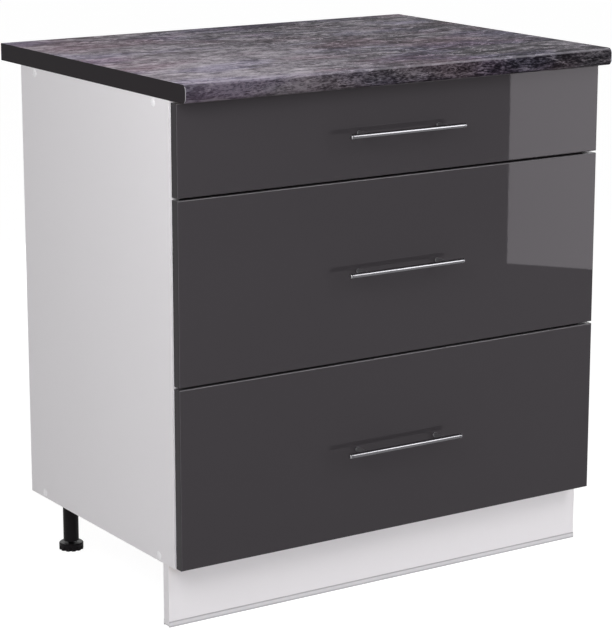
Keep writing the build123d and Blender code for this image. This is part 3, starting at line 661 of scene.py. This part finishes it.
# A cap's dome starts at the panel, and its pin reaches into the panel.
CAP_RADIUS = 0.007
CAP_DOME = [(0.0, 0.007), (0.0003, 0.00685), (0.0006, 0.0063), (0.00085, 0.0054),
            (0.00102, 0.0044), (0.00114, 0.003), (0.00119, 0.0015), (0.0012, 0.0)]
CAP_PIN = [(-0.003, 0.0), (-0.003, 0.0019), (0.0, 0.0019), (0.0, 0.007)]


def finer_handle(level):
    """The bar and the two posts of a drawer's handle."""
    body = level + "_drawer"
    low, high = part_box("handle_bar_" + level)
    height = (low[2] + high[2]) / 2
    depth = (low[1] + high[1]) / 2
    shape = bmesh.new()
    left = [(along - BAR_HALF, radius) for along, radius in BAR_END]
    right = [(-along, radius) for along, radius in reversed(left)]
    turned(shape, left + right, Matrix.Translation((0.0, depth, height)))
    piece("bar_" + level, shape, body, bar_material, "handle_bar_" + level)

    low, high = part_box("handle_posts_" + level)
    length = high[1] - depth
    outline = POST_FOOT + [(length, POST_RADIUS), (length, 0.0)]
    shape = bmesh.new()
    for x in (low[0] + POST_RADIUS, high[0] - POST_RADIUS):
        turned(shape, outline, towards((x, high[1], height), (0, -1, 0)))
    piece("posts_" + level, shape, body, post_material, "handle_posts_" + level)


def finer_caps():
    """The domed cover caps on both side panels."""
    shape = bmesh.new()
    low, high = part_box("cover_caps")
    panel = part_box("side_panel_right")[1][0]
    for side in (-1, 1):
        for y in (low[1] + CAP_RADIUS, high[1] - CAP_RADIUS):
            for z in (low[2] + CAP_RADIUS, high[2] - CAP_RADIUS):
                place = towards((side * panel, y, z), (side, 0, 0))
                turned(shape, CAP_DOME, place)
                turned(shape, CAP_PIN, place)
    bmesh.ops.remove_doubles(shape, verts=shape.verts, dist=0.000001)
    piece("caps", shape, "cabinet", cap_material, "cover_caps", crease=50.0)


for level in LEVELS:
    finer_handle(level)
    finer_screws("handle_screws_" + level, level + "_drawer")
    finer_screws("drawer_screws_" + level, level + "_drawer")
for name in ("worktop_screws", "leg_screws", "runner_screws"):
    finer_screws(name, "cabinet")
finer_caps()


# ---- surroundings, floor and light ----
HORIZON_LEVEL = 1.0
CEILING_LEVEL = 0.3
# The world's brightness for the light that falls on things.
LIT_LEVEL = 0.32
# The floor's centre is the middle between the four feet.
FLOOR_MIDDLE = Vector((0.0, 0.0085, 0.0))
FLOOR_RADIUS = 9.0
QUARTER_STEPS = 24
WHITE = (1.0, 1.0, 1.0, 1.0)


def make_world():
    """White round the horizon, a dimmer ceiling, and a lower level for the light on things."""
    world = bpy.data.worlds.new("studio")
    bpy.context.scene.world = world
    w = Tree(world)
    split = w.add("ShaderNodeSeparateXYZ")
    w.join(w.add("ShaderNodeTexCoord").outputs["Generated"], split.inputs[0])
    shown = w.fit(split.outputs["Z"], 0.35, 0.8, HORIZON_LEVEL, CEILING_LEVEL, "SMOOTHSTEP")
    background = w.tree.nodes["Background"]
    background.inputs["Color"].default_value = WHITE
    w.feed(w.fit(w.seen(), 0.0, 1.0, LIT_LEVEL, shown), background.inputs["Strength"])


def floor_material():
    """Pale for the light that it throws on things; shown as white that keeps the shadow."""
    material = bpy.data.materials.new("floor_pale")
    f = Tree(material)
    surface = f.tree.nodes["Principled BSDF"]
    surface.inputs["Roughness"].default_value = 0.9
    surface.inputs["Specular IOR Level"].default_value = 0.0
    surface.inputs["Emission Color"].default_value = WHITE
    shown = f.seen()
    tone = f.mix(shown, (0.8, 0.8, 0.8, 1.0), (0.24, 0.24, 0.24, 1.0))
    f.feed(tone, surface.inputs["Base Color"])
    f.feed(f.math("MULTIPLY", shown, 0.915), surface.inputs["Emission Strength"])
    return material


def make_floor():
    """A round floor in four quarters. Each goes up or down with the foot that stands on it."""
    material = floor_material()
    feet = ("rear_right_foot", "rear_left_foot", "front_left_foot", "front_right_foot")
    for turn, foot in enumerate(feet):
        corners = [FLOOR_MIDDLE]
        for step in range(QUARTER_STEPS + 1):
            angle = math.radians(90.0 * turn + 90.0 / QUARTER_STEPS * step)
            spoke = Vector((math.cos(angle), math.sin(angle), 0.0))
            corners.append(FLOOR_MIDDLE + FLOOR_RADIUS * spoke)
        mesh = bpy.data.meshes.new("floor_" + foot)
        mesh.from_pydata(corners, [], [range(len(corners))])
        mesh.materials.append(material)
        quarter = bpy.data.objects.new("floor_" + foot, mesh)
        bpy.context.scene.collection.objects.link(quarter)
        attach(quarter, foot)


def area_light(name, centre, target, width, height, radiance, spread=180.0):
    """A soft box as bright as a white surface times radiance.

    A spread under 180 degrees is a honeycomb grid before it. The power goes down with it, so
    that the box looks as bright from straight ahead.
    """
    data = bpy.data.lights.new(name, "AREA")
    data.shape = "RECTANGLE"
    data.size = width
    data.size_y = height
    data.energy = radiance * math.pi * width * height
    if spread < 180.0:
        half = math.radians(spread / 2)
        data.spread = 2 * half
        data.energy *= (math.tan(half) - half) / math.tan(half)
    light = bpy.data.objects.new(name, data)
    light.location = centre
    aim = Vector(target) - Vector(centre)
    light.rotation_mode = "QUATERNION"
    light.rotation_quaternion = aim.to_track_quat("-Z", "Y")
    light.visible_camera = False
    bpy.context.scene.collection.objects.link(light)


# A softbox stands on the floor to the right in front: the fronts mirror its near edge.
CARD_START = Vector((1.679, -2.143, 0.0))
CARD_ALONG = Vector((0.62, 0.785, 0.0)).normalized()
CARD_WIDTH = 0.6
CARD_HEIGHT = 0.8
card_centre = CARD_START + CARD_ALONG * CARD_WIDTH / 2 + Vector((0, 0, CARD_HEIGHT / 2))
card_normal = Vector((-CARD_ALONG.y, CARD_ALONG.x, 0.0))

make_world()
make_floor()
area_light("card", centre=card_centre, target=card_centre + card_normal,
           width=CARD_WIDTH, height=CARD_HEIGHT, radiance=9.0, spread=90.0)
area_light("key", centre=(-1.3, -1.0, 1.35), target=(-0.4, -0.2, 0.7),
           width=1.0, height=1.0, radiance=4.3)
area_light("strip", centre=(1.46, -2.1, 1.62), target=(0.0, -0.3, 0.45),
           width=0.45, height=2.0, radiance=9.0)
area_light("rear", centre=(0.5, 2.6, 0.47), target=(0.0, 0.2, 0.47),
           width=1.8, height=0.7, radiance=4.2)


# ---- camera ----
# Fitted to the photograph. Lengths of the lens and the sensor are in mm.
CAMERA_PLACE = (-2.1474, -3.2987, 1.3333)
CAMERA_AIM = Vector((0.53214, 0.81618, -0.22512))
SENSOR = 36.0
LENS = 135.93
SHIFT_Y = -0.03125

camera = bpy.data.objects.new("camera", bpy.data.cameras.new("camera"))
camera.data.sensor_width = SENSOR
camera.data.lens = LENS
camera.data.shift_y = SHIFT_Y
camera.data.clip_start = 0.1
camera.data.clip_end = 50.0
camera.location = CAMERA_PLACE
camera.rotation_mode = "QUATERNION"
camera.rotation_quaternion = CAMERA_AIM.to_track_quat("-Z", "Y")
bpy.context.scene.collection.objects.link(camera)
bpy.context.scene.camera = camera
bpy.context.scene.view_settings.view_transform = "Standard"
